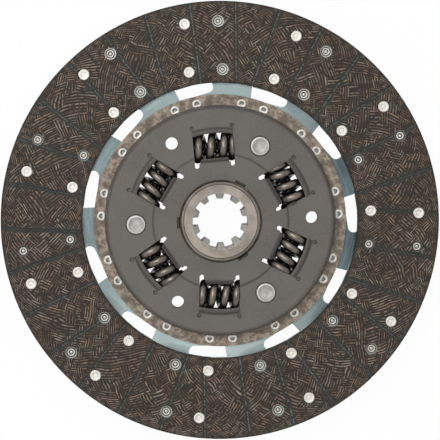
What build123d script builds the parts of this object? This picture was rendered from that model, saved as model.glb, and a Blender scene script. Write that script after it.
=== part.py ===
from build123d import *

import os
from math import acos, asin, atan2, cos, degrees, hypot, pi, radians, sin, sqrt

# A dry clutch disc with a sprung hub. Its axis is Z, and its front, the gearbox side, faces +Z.
# The origin is the centre of the bore at the hub's rear end, on which the disc lies.
# Everything is built from the bore outwards, and along Z from the hub's rear end forwards.

# Splined bore and hub barrel
spline_count = 10
spline_major_diameter = 44.45
spline_minor_diameter = 36.0
spline_slot_width = 6.93
spline_first_slot_deg = 1.5
hub_wall = 8.975
hub_rear_length = 22.4
hub_front_length = 5.2
barrel_chamfer = 1.9
bore_chamfer = 0.4

# Hub flange, which the damper springs drive
hub_flange_thickness = 7.0
hub_flange_rim = 11.9
hub_root_fillet = 1.2

# Friction rings and the cone spring that loads them
friction_ring_thickness = 1.5
friction_ring_width = 12.2
bush_wall = 2.0
cone_spring_thickness = 1.2
cone_spring_rise = 1.3
cone_spring_inset = 1.2
tab_count = 3
tab_width = 8.0
tab_thickness = 1.5
tab_gap = 0.3

# Damper springs, an outer and an inner one in each window
pin_count = 3
first_pin_deg = 62.3
spring_offset_deg = 33.1
spring_web = 3.25
spring_length = 31.7
spring_outer_diameter = 25.0
spring_wire = 6.0
spring_pitch = 10.1
spring_active_reach = 11.25
spring_closing_pitch = 6.1
inner_spring_wire = 3.1
inner_spring_clearance = 0.6
inner_spring_pitch = 5.6
inner_spring_closing_pitch = 3.2
# Where each outer spring's front strand crosses the middle of its window, from its centre
front_strand_at = (1.2, -2.2, 3.9, 3.0, -4.7, -4.4)

# Drive plate and cover plate, with a lip along the inner and outer edge of each spring window
plate_thickness = 2.5
lip_thickness = 2.0
lip_bend_radius = 3.0
lip_root_margin = 0.4
outer_lip_edge_deg = 48.2
inner_lip_edge_deg = 45.5
rear_inner_lip_edge_deg = 28.0
inner_lip_half_width = 11.5
inner_lip_corner = 1.2
relief_radius = 1.75
relief_depth = 1.8
corner_hole_diameter = 2.6
corner_hole_offset = 2.2
corner_slit = 0.8
cover_raise = 0.8
cover_raise_slope = 1.2
cover_raise_inset = 4.6
cover_bore_gap = 1.3
cover_bend_radius = 2.8
cover_wall_flare = 2.3
housing_clearance = 3.4
balance_hole_diameter = 9.8
balance_hole_offset_deg = -60.1
balance_hole_from_spring_circle = 13.5
balance_hole_clearance = 1.2

# Stop pins, which join the two plates and limit the twist
twist_limit_deg = 5.0
pin_from_spring_circle = 8.0
pin_diameter = 12.0
pin_neck_diameter = 9.0
pin_head_diameter = 14.9
pin_head_height = 2.0
pin_head_edge = 0.6

# Cushion segments, with a flat foot under the drive plate and a wavy pad between the facings
segment_count = 11
first_segment_deg = 30.0
segment_thickness = 0.8
segment_wave_height = 1.0
segment_gap = 0.6
segment_lean_deg = 11.05
segment_skew_deg = 2.65
segment_flat_width = 12.0
segment_neck_length = 9.3
segment_foot_inset = 6.6
segment_outer_margin = 2.0
slot_width = 9.2
slot_under_plate = 0.5
slot_lean_deg = 11.8
slot_length = 21.9
wave_start = 6.0
wave_growth = 7.5

# Tubular rivets that hold the segments on the drive plate
segment_rivet_from_wall = 2.4
segment_rivet_edge = 6.1
segment_rivet_centre_deg = -5.0
segment_rivet_half_spread_deg = 10.83
segment_rivet_shank = 4.2
segment_rivet_ring = 7.8
segment_rivet_bore = 3.2
segment_rivet_bore_flat = 0.7
segment_rivet_bore_depth = 2.2
segment_rivet_end_height = 1.0
segment_rivet_head = 7.6
rivet_wall_gap = 0.25

# Friction facings, with oil-free grooves and countersunk rivet holes
facing_width = 65.0
facing_thickness = 3.7
facing_edge_break = 0.4
groove_groups = 10
groove_first_deg = 26.0
groove_outer_deg = 12.0
groove_inner_deg = 14.75
groove_width = 2.2
groove_depth = 1.0

# Rivets of the facings
facing_rivet_across = 26.8
facing_rivet_inner_row = 10.0
facing_rivet_row_spacing = 38.5
facing_rivet_shank = 5.0
facing_rivet_head = 9.2
facing_rivet_head_thickness = 1.2
facing_rivet_head_gap = 0.2
facing_rivet_seat = 1.5
facing_rivet_ring = 7.0
facing_rivet_bore = 3.2
facing_rivet_end_height = 0.8
facing_clearance_hole = 9.2

# Fits
rivet_fit = 0.05
running_fit = 0.05
spring_side_fit = 0.4
spring_end_fit = 0.15
pin_slot_fit = 0.3

# Radii, from the bore outwards
barrel_radius = spline_major_diameter / 2 + hub_wall
bush_inner_radius = barrel_radius + running_fit
bush_outer_radius = bush_inner_radius + bush_wall
drive_plate_bore = bush_outer_radius + running_fit
cover_bore = barrel_radius + cover_bore_gap
friction_outer_radius = bush_inner_radius + friction_ring_width
spring_radius = spring_outer_diameter / 2
spring_circle = friction_outer_radius + spring_web + spring_radius
flange_radius = spring_circle + spring_radius + spring_side_fit + hub_flange_rim
cover_bend_outer = flange_radius + housing_clearance + plate_thickness
cover_foot_outer = cover_bend_outer + cover_wall_flare
pin_circle = spring_circle + pin_from_spring_circle
balance_hole_circle = spring_circle + balance_hole_from_spring_circle
segment_rivet_circle = cover_foot_outer + segment_rivet_from_wall
drive_plate_radius = segment_rivet_circle + segment_rivet_edge
facing_inner_radius = drive_plate_radius + segment_neck_length
facing_outer_radius = facing_inner_radius + facing_width

# Heights, from the hub's rear end forwards
drive_plate_rear = hub_rear_length
drive_plate_front = drive_plate_rear + plate_thickness
middle_z = drive_plate_rear - segment_thickness / 2
flange_rear = drive_plate_front + friction_ring_thickness + running_fit
flange_front = flange_rear + hub_flange_thickness
front_ring_rear = flange_front + running_fit
front_ring_front = front_ring_rear + friction_ring_thickness
cone_spring_height = cone_spring_thickness + cone_spring_rise
cover_raised_inside = front_ring_front + cone_spring_height
cover_inside = cover_raised_inside - cover_raise
cover_outside = cover_inside + plate_thickness
cover_raised_outside = cover_outside + cover_raise
hub_front = cover_raised_outside + hub_front_length
spring_z = (flange_rear + flange_front) / 2
facing_gap = segment_thickness + segment_wave_height
front_facing_rear = middle_z + facing_gap / 2
front_facing_front = front_facing_rear + facing_thickness

# Angles
segment_pitch_deg = 360 / segment_count
pin_angles = [first_pin_deg + 360 / pin_count * k for k in range(pin_count)]
spring_angles = [a + side * spring_offset_deg for a in pin_angles for side in (-1, 1)]
balance_angles = [a + balance_hole_offset_deg for a in pin_angles]
segment_angles = [first_segment_deg + segment_pitch_deg * k for k in range(segment_count)]

# Spring windows, measured from the spring's own axis
window_half_width = spring_length / 2 + spring_end_fit
spring_room = spring_radius + spring_side_fit
# An outer lip bends round Z, so it stands off by what a straight spring's ends reach past it
outer_lip_arc = spring_circle + spring_radius
outer_lip_stand_off = outer_lip_arc - sqrt(outer_lip_arc**2 - window_half_width**2)


def point_at(radius, angle_deg, z=0.0):
    """The point at a radius and an angle from +X."""
    return (radius * cos(radians(angle_deg)), radius * sin(radians(angle_deg)), z)


def turned(shape, angle_deg):
    """Turns a shape whose outward direction is +Y, so that it points along the angle."""
    return Rot(0, 0, angle_deg - 90) * shape


def around(shape, angles):
    """Copies of a shape that points along +Y, one at each angle."""
    return [turned(shape, a) for a in angles]


def ring(inner, outer, low, high):
    """A flat ring about Z."""
    return extrude(Pos(0, 0, low) * (Circle(outer) - Circle(inner)), high - low)


def turned_section(points):
    """A solid of revolution about Z, from the corners of its section as (radius, z)."""
    return revolve(Plane.XZ * make_face(Polyline(*points, close=True)), Axis.Z)


def cylinder(radius, low, high, at=(0, 0)):
    """A round bar along Z."""
    return extrude(Pos(at[0], at[1], low) * Circle(radius), high - low)


def lip_inside(outer_face, stand_off):
    """The inner radius of a lip about the spring's axis, which clears the spring all along."""
    inner_face = outer_face - plate_thickness
    return hypot(stand_off + sqrt(spring_room**2 - inner_face**2), inner_face)


def lip_bend_at(outer_face, inside):
    """How far from the spring's axis a lip starts to bend out of the plate's outer face."""
    bend_centre = inside + lip_thickness + lip_bend_radius
    return sqrt(bend_centre**2 - (outer_face + lip_bend_radius) ** 2)


def lip_root(outer_face, stand_off):
    """How far from the spring's axis the plate is cut open, where the lip takes over."""
    return lip_bend_at(outer_face, lip_inside(outer_face, stand_off)) + lip_root_margin


def lip_section(outer_face, stand_off, edge_deg, front, outward):
    """The section of a window's lip in the XZ plane, which follows the spring.

    outer_face is the distance from the spring's axis to the plate's outer face, and edge_deg the
    angle from that axis's own Z to the lip's free edge. front is 1 on the cover and -1 on the
    drive plate. outward is 1 for the lip at the window's outer edge and -1 at the inner one.
    """

    def at(across, height):
        return (spring_circle + outward * across, spring_z + front * height)

    def on_ring(radius, deg):
        return at(radius * sin(radians(deg)), radius * cos(radians(deg)))

    inside = lip_inside(outer_face, stand_off)
    outside = inside + lip_thickness
    inner_face = outer_face - plate_thickness
    bend_x = lip_bend_at(outer_face, inside)
    overlap_x = bend_x + 2 * lip_root_margin
    bend_deg = degrees(atan2(bend_x, outer_face + lip_bend_radius))
    bend_centre = (bend_x, outer_face + lip_bend_radius)
    half_bend = radians(bend_deg) / 2
    bend_middle = (
        bend_centre[0] - lip_bend_radius * sin(half_bend),
        bend_centre[1] - lip_bend_radius * cos(half_bend),
    )
    face_deg = degrees(acos(inner_face / inside))
    edges = [
        Line(at(overlap_x, inner_face), at(overlap_x, outer_face)),
        Line(at(overlap_x, outer_face), at(bend_x, outer_face)),
        ThreePointArc(at(bend_x, outer_face), at(*bend_middle), on_ring(outside, bend_deg)),
        ThreePointArc(
            on_ring(outside, bend_deg),
            on_ring(outside, (bend_deg + edge_deg) / 2),
            on_ring(outside, edge_deg),
        ),
        Line(on_ring(outside, edge_deg), on_ring(inside, edge_deg)),
        ThreePointArc(
            on_ring(inside, edge_deg),
            on_ring(inside, (edge_deg + face_deg) / 2),
            on_ring(inside, face_deg),
        ),
        Line(on_ring(inside, face_deg), at(overlap_x, inner_face)),
    ]
    return Plane.XZ * make_face(edges)


def window_lips(outer_face, inner_region_face, inner_edge_deg, front):
    """Both lips of one window that points along +Y, clipped to the window's width."""
    tall = 4 * spring_room
    spare_deg = 2
    half_arc = degrees(asin(window_half_width / spring_circle)) + spare_deg
    section = lip_section(outer_face, outer_lip_stand_off, outer_lip_edge_deg, front, 1)
    outer_lip = Rot(0, 0, 90 - half_arc) * revolve(section, Axis.Z, 2 * half_arc)
    outer_lip &= Pos(0, flange_radius, spring_z) * Box(
        2 * window_half_width, 2 * flange_radius, tall
    )
    section = lip_section(inner_region_face, 0, inner_edge_deg, front, -1)
    inner_lip = Rot(0, 0, 90) * extrude(section, inner_lip_half_width, both=True)
    edge_y = spring_circle - spring_room * sin(radians(inner_edge_deg))
    corner = make_face(
        Polyline(
            (inner_lip_half_width - inner_lip_corner, edge_y),
            (inner_lip_half_width, edge_y - inner_lip_corner),
            (inner_lip_half_width, edge_y),
            close=True,
        )
    )
    cut = extrude(Pos(0, 0, spring_z - tall / 2) * corner, tall)
    return [outer_lip, inner_lip - cut - mirror(cut, Plane.YZ)]


def relief_notches(bottom):
    """The two round-ended notches at a window's inner corners, pointing along +Y."""
    x = window_half_width - relief_radius
    top = spring_circle
    notch = Pos(x, (bottom + top) / 2) * Rectangle(2 * relief_radius, top - bottom)
    notch += Pos(x, bottom) * Circle(relief_radius)
    return notch + mirror(notch, Plane.YZ)


def window_opening(inner_edge, outer_edge):
    """A window that points along +Y, with a straight inner edge and an outer edge about Z."""
    strip = Pos(0, (inner_edge + outer_edge) / 2) * Rectangle(
        2 * window_half_width, outer_edge - inner_edge
    )
    relief_bottom = spring_circle - spring_room - relief_depth
    return (strip & Circle(outer_edge)) + relief_notches(relief_bottom)


def plate_openings(inner_root, outer_root, low, high):
    """What is punched from a plate at one window: the opening, and a slit to each corner hole."""
    outer_edge = spring_circle + outer_root
    sketch = window_opening(spring_circle - inner_root, outer_edge)
    corner_y = sqrt(outer_edge**2 - window_half_width**2)
    for side in (-1, 1):
        slit_x = side * (window_half_width - corner_slit / 2)
        sketch += Pos(slit_x, corner_y) * Rectangle(corner_slit, 2 * corner_hole_offset)
        hole_at = Pos(side * window_half_width, corner_y + corner_hole_offset)
        sketch += hole_at * Circle(corner_hole_diameter / 2)
    return extrude(Pos(0, 0, low) * sketch, high - low)


def round_holes(diameter, circle, angles, low, high):
    """Round holes along Z on a circle."""
    return [cylinder(diameter / 2, low, high, point_at(circle, a)[:2]) for a in angles]


def hub():
    """The barrel, its splined bore and the flange with its windows and pin slots."""
    body = cylinder(barrel_radius, 0, hub_front)
    ends = body.edges().filter_by(GeomType.CIRCLE)
    body = chamfer(ends, barrel_chamfer)
    body += ring(barrel_radius - hub_wall / 2, flange_radius, flange_rear, flange_front)
    near = 0.01
    roots = [
        edge
        for edge in body.edges().filter_by(GeomType.CIRCLE)
        if abs(edge.radius - barrel_radius) < near
        and flange_rear - near < edge.center().Z < flange_front + near
    ]
    body = fillet(roots, hub_root_fillet)

    outer_edge = hypot(spring_circle + spring_room, window_half_width)
    window = window_opening(spring_circle - spring_room, outer_edge)
    cuts = around(extrude(Pos(0, 0, flange_rear) * window, hub_flange_thickness), spring_angles)
    cuts += around(pin_slot(), pin_angles)
    cuts += round_holes(
        balance_hole_diameter + 2 * balance_hole_clearance,
        balance_hole_circle,
        balance_angles,
        flange_rear,
        flange_front,
    )
    body -= cuts
    return body - splined_bore()


def pin_slot():
    """The curved slot in the hub flange that lets a stop pin travel, pointing along +Y."""
    half_width = pin_diameter / 2 + pin_slot_fit
    slot = extrude(
        Pos(0, 0, flange_rear)
        * (Circle(pin_circle + half_width) - Circle(pin_circle - half_width)),
        hub_flange_thickness,
    )
    reach = 2 * flange_radius
    wedge = make_face(
        Polyline(
            (0, 0),
            point_at(reach, 90 - twist_limit_deg)[:2],
            point_at(reach, 90 + twist_limit_deg)[:2],
            close=True,
        )
    )
    slot &= extrude(Pos(0, 0, flange_rear) * wedge, hub_flange_thickness)
    for angle in (90 - twist_limit_deg, 90 + twist_limit_deg):
        slot += cylinder(half_width, flange_rear, flange_front, point_at(pin_circle, angle)[:2])
    return slot


def splined_bore():
    """What the bore takes out: the minor circle, the spline slots and a chamfer at each end."""
    slot_reach = spline_major_diameter
    slots = [
        turned(Pos(0, slot_reach / 2) * Rectangle(spline_slot_width, slot_reach), angle)
        for angle in [spline_first_slot_deg + 360 / spline_count * k for k in range(spline_count)]
    ]
    profile = Circle(spline_minor_diameter / 2)
    for slot in slots:
        profile += slot & Circle(spline_major_diameter / 2)
    bore = extrude(profile, hub_front)
    minor = spline_minor_diameter / 2
    deep = bore_chamfer + spline_major_diameter / 2 - minor
    mouth = turned_section([(0, 0), (minor + deep, 0), (minor, deep), (0, deep)])
    return bore + mouth + Pos(0, 0, hub_front) * (Rot(180, 0, 0) * mouth)


def rear_friction_ring():
    """The friction ring behind the hub flange, with a collar that centres the drive plate."""
    return turned_section(
        [
            (bush_inner_radius, drive_plate_rear),
            (bush_outer_radius, drive_plate_rear),
            (bush_outer_radius, drive_plate_front),
            (friction_outer_radius, drive_plate_front),
            (friction_outer_radius, drive_plate_front + friction_ring_thickness),
            (bush_inner_radius + hub_root_fillet, drive_plate_front + friction_ring_thickness),
            (bush_inner_radius, drive_plate_front + friction_ring_thickness - hub_root_fillet),
        ]
    )


def tab_sketch(gap):
    """A friction ring's tab seen along Z, pointing along +Y, grown by the gap all round."""
    low = cover_bore + tab_gap - gap
    high = cover_bore + tab_gap + tab_thickness + gap
    return Pos(0, (low + high) / 2) * Rectangle(tab_width + 2 * gap, high - low)


def front_friction_ring():
    """The friction ring in front of the hub flange. Its tabs stand in notches of the cover."""
    inner = bush_inner_radius + hub_root_fillet
    body = ring(inner, friction_outer_radius, front_ring_rear, front_ring_front)
    tab = extrude(Pos(0, 0, front_ring_rear) * tab_sketch(0), cover_raised_outside - front_ring_rear)
    for tab_at in around(tab, pin_angles):
        body += tab_at
    return body


def cone_spring():
    """The cone spring between the front friction ring and the cover."""
    inner = cover_bore + tab_gap + tab_thickness + cone_spring_inset
    outer = friction_outer_radius - cone_spring_inset
    return turned_section(
        [
            (outer, front_ring_front),
            (outer, front_ring_front + cone_spring_thickness),
            (inner, cover_raised_inside),
            (inner, cover_raised_inside - cone_spring_thickness),
        ]
    )


def drive_plate():
    """The flat plate behind the hub flange, which carries the segments."""
    body = ring(drive_plate_bore, drive_plate_radius, drive_plate_rear, drive_plate_front)
    outer_face = spring_z - drive_plate_rear
    opening = plate_openings(
        lip_root(outer_face, 0),
        lip_root(outer_face, outer_lip_stand_off),
        drive_plate_rear,
        drive_plate_front,
    )
    cuts = around(opening, spring_angles)
    cuts += round_holes(
        pin_neck_diameter + 2 * rivet_fit, pin_circle, pin_angles, drive_plate_rear, drive_plate_front
    )
    cuts += round_holes(
        balance_hole_diameter, balance_hole_circle, balance_angles, drive_plate_rear, drive_plate_front
    )
    cuts += round_holes(
        segment_rivet_shank + 2 * rivet_fit,
        segment_rivet_circle,
        segment_rivet_angles(),
        drive_plate_rear,
        drive_plate_front,
    )
    body -= cuts
    for lips in window_lips(outer_face, outer_face, rear_inner_lip_edge_deg, -1):
        for lip in around(lips, spring_angles):
            body += lip
    return body


def cover_plate():
    """The grey plate in front of the hub flange, whose wall stands on the drive plate."""
    raise_outer = spring_circle - cover_raise_inset
    raise_inner = raise_outer - cover_raise_slope
    wall = plate_thickness
    section = make_face(
        Polyline(
            (cover_bore, cover_raised_inside),
            (raise_inner, cover_raised_inside),
            (raise_outer, cover_inside),
            (cover_bend_outer - wall, cover_inside),
            (cover_foot_outer - wall, drive_plate_front),
            (cover_foot_outer, drive_plate_front),
            (cover_bend_outer, cover_outside),
            (raise_outer, cover_outside),
            (raise_inner, cover_raised_outside),
            (cover_bore, cover_raised_outside),
            close=True,
        )
    )
    outside_corner = section.vertices().sort_by_distance((cover_bend_outer, cover_outside))[0]
    section = fillet(outside_corner, cover_bend_radius)
    body = revolve(Plane.XZ * section, Axis.Z)

    outer_face = cover_outside - spring_z
    raised_face = cover_raised_outside - spring_z
    opening = plate_openings(
        lip_root(raised_face, 0),
        lip_root(outer_face, outer_lip_stand_off),
        cover_inside,
        cover_raised_outside,
    )
    cuts = around(opening, spring_angles)
    cuts += round_holes(
        pin_neck_diameter + 2 * rivet_fit, pin_circle, pin_angles, cover_inside, cover_outside
    )
    cuts += round_holes(
        balance_hole_diameter, balance_hole_circle, balance_angles, cover_inside, cover_outside
    )
    notch = tab_sketch(tab_gap) + Pos(0, cover_bore) * Rectangle(tab_width + 2 * tab_gap, tab_gap)
    cuts += around(
        extrude(Pos(0, 0, cover_inside) * notch, cover_raised_outside - cover_inside), pin_angles
    )
    body -= cuts
    for lips in window_lips(outer_face, raised_face, inner_lip_edge_deg, 1):
        for lip in around(lips, spring_angles):
            body += lip
    return body


def stop_pin():
    """A shouldered pin at the centre, whose ends are headed over both plates."""
    head = pin_head_diameter / 2
    neck = pin_neck_diameter / 2
    body = pin_diameter / 2
    rear = drive_plate_rear - pin_head_height
    front = cover_outside + pin_head_height
    return turned_section(
        [
            (0, rear),
            (head - pin_head_edge, rear),
            (head, rear + pin_head_edge),
            (head, drive_plate_rear),
            (neck, drive_plate_rear),
            (neck, drive_plate_front),
            (body, drive_plate_front),
            (body, cover_inside),
            (neck, cover_inside),
            (neck, cover_outside),
            (head, cover_outside),
            (head, front - pin_head_edge),
            (head - pin_head_edge, front),
            (0, front),
        ]
    )


def coil(wire, mean_diameter, pitch, closing_pitch, active_reach, front_at, hand):
    """A compression spring along X with closed, ground ends, centred on the origin.

    Its strands are a pitch apart within active_reach of the middle and closer beyond it.
    front_at is where a strand crosses the front, +Z, side. hand is 1 for a right-hand coil.
    """
    # Each end coil runs out where grinding has left a quarter of the wire
    wire_end = spring_length / 2 + wire / 4

    def axial(turns):
        along = abs(turns) * pitch
        if along > active_reach:
            along = active_reach + (abs(turns) - active_reach / pitch) * closing_pitch
        return along if turns >= 0 else -along

    end_turns = active_reach / pitch + (wire_end - active_reach) / closing_pitch
    front_turns = front_at / pitch
    steps_per_turn = 12
    steps = round(2 * end_turns * steps_per_turn)
    radius = mean_diameter / 2
    points = []
    for i in range(steps + 1):
        turns = -end_turns + 2 * end_turns * i / steps
        angle = 2 * pi * (turns - front_turns) * hand
        points.append((axial(turns), -radius * sin(angle), radius * cos(angle)))
    path = Spline(*points)
    section = Plane(origin=path @ 0, z_dir=path % 0) * Circle(wire / 2)
    spring = sweep(section, path)
    room = 2 * (mean_diameter + wire)
    return spring & Box(spring_length, room, room)


def outer_spring(front_at):
    """An outer damper spring, in its place in a window that points along +Y."""
    mean_diameter = spring_outer_diameter - spring_wire
    spring = coil(
        spring_wire,
        mean_diameter,
        spring_pitch,
        spring_closing_pitch,
        spring_active_reach,
        front_at,
        -1,
    )
    return Pos(0, spring_circle, spring_z) * spring


def inner_spring():
    """An inner damper spring of the opposite hand, inside an outer one."""
    room = spring_outer_diameter - 2 * spring_wire
    mean_diameter = room - 2 * inner_spring_clearance - inner_spring_wire
    reach = spring_length / 2 - inner_spring_wire
    spring = coil(
        inner_spring_wire,
        mean_diameter,
        inner_spring_pitch,
        inner_spring_closing_pitch,
        reach,
        0,
        1,
    )
    return Pos(0, spring_circle, spring_z) * spring


def segment_rivet_angles():
    """The angles of all the rivets that hold the segments on the drive plate."""
    return [
        angle + segment_rivet_centre_deg + side * segment_rivet_half_spread_deg
        for angle in segment_angles
        for side in (-1, 1)
    ]


def segment_rivet():
    """A tubular rivet through the drive plate and a segment, pointing along +Y."""
    shank = segment_rivet_shank / 2
    bore = segment_rivet_bore / 2
    end = drive_plate_front + segment_rivet_end_height
    rear = middle_z - segment_thickness / 2
    body = turned_section(
        [
            (0, rear - segment_rivet_end_height),
            (segment_rivet_head / 2, rear - segment_rivet_end_height),
            (segment_rivet_head / 2, rear),
            (shank, rear),
            (shank, drive_plate_front),
            (segment_rivet_ring / 2, drive_plate_front),
            (segment_rivet_ring / 2, end - segment_rivet_end_height / 2),
            (segment_rivet_ring / 2 - segment_rivet_end_height / 2, end),
            (0, end),
        ]
    )
    # The bore has a flat side, as the formed end has
    flat_side = Pos(0, bore - segment_rivet_bore_flat) * Rectangle(2 * bore, 2 * bore)
    opening = Circle(bore) & flat_side
    body -= extrude(Pos(0, 0, end - segment_rivet_bore_depth) * opening, segment_rivet_bore_depth)
    body = Pos(0, segment_rivet_circle) * body
    # The formed end is flat on the side of the cover's wall
    clear = cylinder(cover_foot_outer + rivet_wall_gap, drive_plate_front, end)
    return body - clear


def facing_rivet(x, y):
    """A rivet of the front facing, whose tubular end is rolled over behind the segment."""
    shank = facing_rivet_shank / 2
    seat = front_facing_rear + facing_rivet_seat
    rolled = front_facing_rear - segment_thickness
    end = rolled - facing_rivet_end_height
    ring_radius = facing_rivet_ring / 2
    bore = facing_rivet_bore / 2
    body = turned_section(
        [
            (0, seat + facing_rivet_head_thickness),
            (facing_rivet_head / 2, seat + facing_rivet_head_thickness),
            (facing_rivet_head / 2, seat),
            (shank, seat),
            (shank, rolled),
            (ring_radius, rolled),
            (ring_radius, end + facing_rivet_end_height / 2),
            (ring_radius - facing_rivet_end_height / 2, end),
            (bore, end),
            (bore, front_facing_rear),
            (0, front_facing_rear),
        ]
    )
    return Pos(x, y) * body


def to_the_back(shape):
    """Mirrors a front piece to the back, through the middle plane of the segments."""
    return mirror(shape, Plane(origin=(0, 0, middle_z), z_dir=(0, 0, 1)))


def facing_rivet_rows():
    """The distances from the axis to the two rows of facing rivets, along a segment's +Y."""
    inner = facing_inner_radius + facing_rivet_inner_row
    return [inner, inner + facing_rivet_row_spacing]


def rivets_of_a_facing(back):
    """All the rivets of one facing, as separate solids."""
    x = facing_rivet_across / 2
    rivets = []
    for y in facing_rivet_rows():
        rivet = to_the_back(facing_rivet(x, y)) if back else facing_rivet(-x, y)
        rivets += around(rivet, segment_angles)
    return rivets


def leaning_edge(shift):
    """Two points of a segment's clockwise edge, far below and above it, for a +Y segment.

    The edge is straight, and shift moves it square to itself, towards the segment.
    """
    angle = 90 - segment_pitch_deg / 2 - segment_skew_deg
    x, y, _ = point_at(facing_inner_radius, angle)
    run = (sin(radians(segment_lean_deg)), cos(radians(segment_lean_deg)))
    x, y = x - shift * run[1], y + shift * run[0]
    reach = facing_outer_radius
    return [(x + side * reach * run[0], y + side * reach * run[1]) for side in (-1, 1)]


def segment_outline():
    """A segment's blank seen along Z: a leaning blade whose slot parts its pad from its foot."""
    low, high = leaning_edge(segment_gap / 2)
    other = [Vector(*p).rotate(Axis.Z, segment_pitch_deg) for p in leaning_edge(-segment_gap / 2)]
    blade = make_face(Polyline(low, high, other[1], other[0], close=True))
    outer = facing_outer_radius - segment_outer_margin
    inner = segment_rivet_circle - segment_foot_inset
    blade &= Circle(outer) - Circle(inner)
    half = slot_width / 2
    distance = drive_plate_radius - slot_under_plate + half
    # The slot runs out through the blade's anticlockwise edge
    reach = distance
    slot = Pos((slot_length - reach) / 2, distance) * Rectangle(reach + slot_length, slot_width)
    slot += Pos(slot_length, distance) * Circle(half)
    blade -= Rot(0, 0, slot_lean_deg) * slot
    return blade


def wave_profile(y, height):
    """The section of a segment across its pad, in the plane at y: flats joined by slopes."""
    flat = segment_flat_width / 2
    crest = facing_rivet_across / 2
    half = segment_thickness / 2
    corners = []
    for k in range(-3, 4):
        at = (2 * k + 1) * crest
        z = height / 2 if k % 2 else -height / 2
        corners += [(at - flat, z), (at + flat, z)]
    top = [(x, z + half) for x, z in corners]
    bottom = [(x, z - half) for x, z in reversed(corners)]
    face = make_face(Polyline(*top, *bottom, close=True))
    return Plane(origin=(0, y, middle_z), x_dir=(1, 0, 0), z_dir=(0, -1, 0)) * face


def cushion_segment():
    """One segment: flat at the foot and the neck, and waved where the facings hold it."""
    start = facing_inner_radius - wave_start
    full = start + wave_growth
    end = facing_outer_radius
    wave = extrude(wave_profile(end, segment_wave_height), end - full)
    growing = loft([wave_profile(start, 0), wave_profile(full, segment_wave_height)], ruled=True)
    flat = Pos(0, start / 2, middle_z) * Box(2 * end, start, segment_thickness)
    sheet = flat + growing + wave
    blank = extrude(Pos(0, 0, middle_z - facing_gap) * segment_outline(), 2 * facing_gap)
    body = sheet & blank
    low = middle_z - facing_gap
    high = middle_z + facing_gap
    holes = [
        cylinder(
            segment_rivet_shank / 2 + rivet_fit,
            low,
            high,
            point_at(
                segment_rivet_circle,
                90 + segment_rivet_centre_deg + side * segment_rivet_half_spread_deg,
            )[:2],
        )
        for side in (-1, 1)
    ]
    for y in facing_rivet_rows():
        for side in (-1, 1):
            at = (side * facing_rivet_across / 2, y)
            holes.append(cylinder(facing_rivet_shank / 2 + rivet_fit, low, high, at))
    return body - holes


def facing_grooves():
    """The shallow grooves of the front facing, three to a group, the outer two leaning."""
    grooves = []
    for k in range(groove_groups):
        angle = groove_first_deg + 360 / groove_groups * k
        for side in (-1, 0, 1):
            outer = Vector(*point_at(facing_outer_radius, angle + side * groove_outer_deg))
            inner = Vector(*point_at(facing_inner_radius, angle + side * groove_inner_deg))
            run = outer - inner
            middle = (outer + inner) / 2
            lean = degrees(atan2(run.Y, run.X))
            bar = Rectangle(run.length + 2 * groove_width, groove_width)
            grooves.append(Pos(middle.X, middle.Y) * Rot(0, 0, lean) * bar)
    return [
        extrude(Pos(0, 0, front_facing_front - groove_depth) * groove, groove_depth)
        for groove in grooves
    ]


def front_facing():
    """The front facing, with stepped holes for its own rivets and clear ones for the others."""
    edge = facing_edge_break
    body = turned_section(
        [
            (facing_inner_radius, front_facing_rear),
            (facing_outer_radius, front_facing_rear),
            (facing_outer_radius, front_facing_front - edge),
            (facing_outer_radius - edge, front_facing_front),
            (facing_inner_radius + edge, front_facing_front),
            (facing_inner_radius, front_facing_front - edge),
        ]
    )
    seat = front_facing_rear + facing_rivet_seat
    x = facing_rivet_across / 2
    cuts = facing_grooves()
    for y in facing_rivet_rows():
        shank = cylinder(facing_rivet_shank / 2 + rivet_fit, front_facing_rear, seat, (-x, y))
        head = cylinder(
            facing_rivet_head / 2 + facing_rivet_head_gap, seat, front_facing_front, (-x, y)
        )
        clear = cylinder(facing_clearance_hole / 2, front_facing_rear, front_facing_front, (x, y))
        for hole in (shank, head, clear):
            cuts += around(hole, segment_angles)
    return body - cuts


def save(name, shape):
    """Writes one node, as one solid or as a group of separate solids."""
    solids = [s for piece in (shape if isinstance(shape, list) else [shape]) for s in piece.solids()]
    export_step(solids[0] if len(solids) == 1 else Compound(children=solids), f"parts/{name}.step")


os.makedirs("parts", exist_ok=True)
save("hub", hub())
save("rear_friction_ring", rear_friction_ring())
save("front_friction_ring", front_friction_ring())
save("cone_spring", cone_spring())
save("drive_plate", drive_plate())
save("cover_plate", cover_plate())
for k, pin_at in enumerate(around(Pos(0, pin_circle) * stop_pin(), pin_angles), 1):
    save(f"stop_pin_{k}", pin_at)
for k, angle in enumerate(spring_angles):
    save(f"outer_spring_{k + 1}", turned(outer_spring(front_strand_at[k]), angle))
    save(f"inner_spring_{k + 1}", turned(inner_spring(), angle))
for k, segment_at in enumerate(around(cushion_segment(), segment_angles), 1):
    save(f"cushion_segment_{k:02d}", segment_at)
save("segment_rivets", around(segment_rivet(), segment_rivet_angles()))
facing = front_facing()
save("front_facing", facing)
save("back_facing", to_the_back(facing))
save("front_facing_rivets", rivets_of_a_facing(back=False))
save("back_facing_rivets", rivets_of_a_facing(back=True))
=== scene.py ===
# %% [markdown]
# A clutch disc sits between an engine's flywheel and its pressure plate. Two ring-shaped facings
# grip, wavy cushion segments hold them apart, and coil springs in a two-plate cage soften the
# twist before it reaches the splined hub in the middle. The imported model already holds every
# solid at its real size, so this lesson keeps those solids as a fixed frame. It remakes only what
# repeats or gives way, such as springs and rivets, and spends its time on finishes and light.

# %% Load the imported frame
import functools
import math

import bmesh
import bpy
from mathutils import Matrix, Vector


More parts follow.
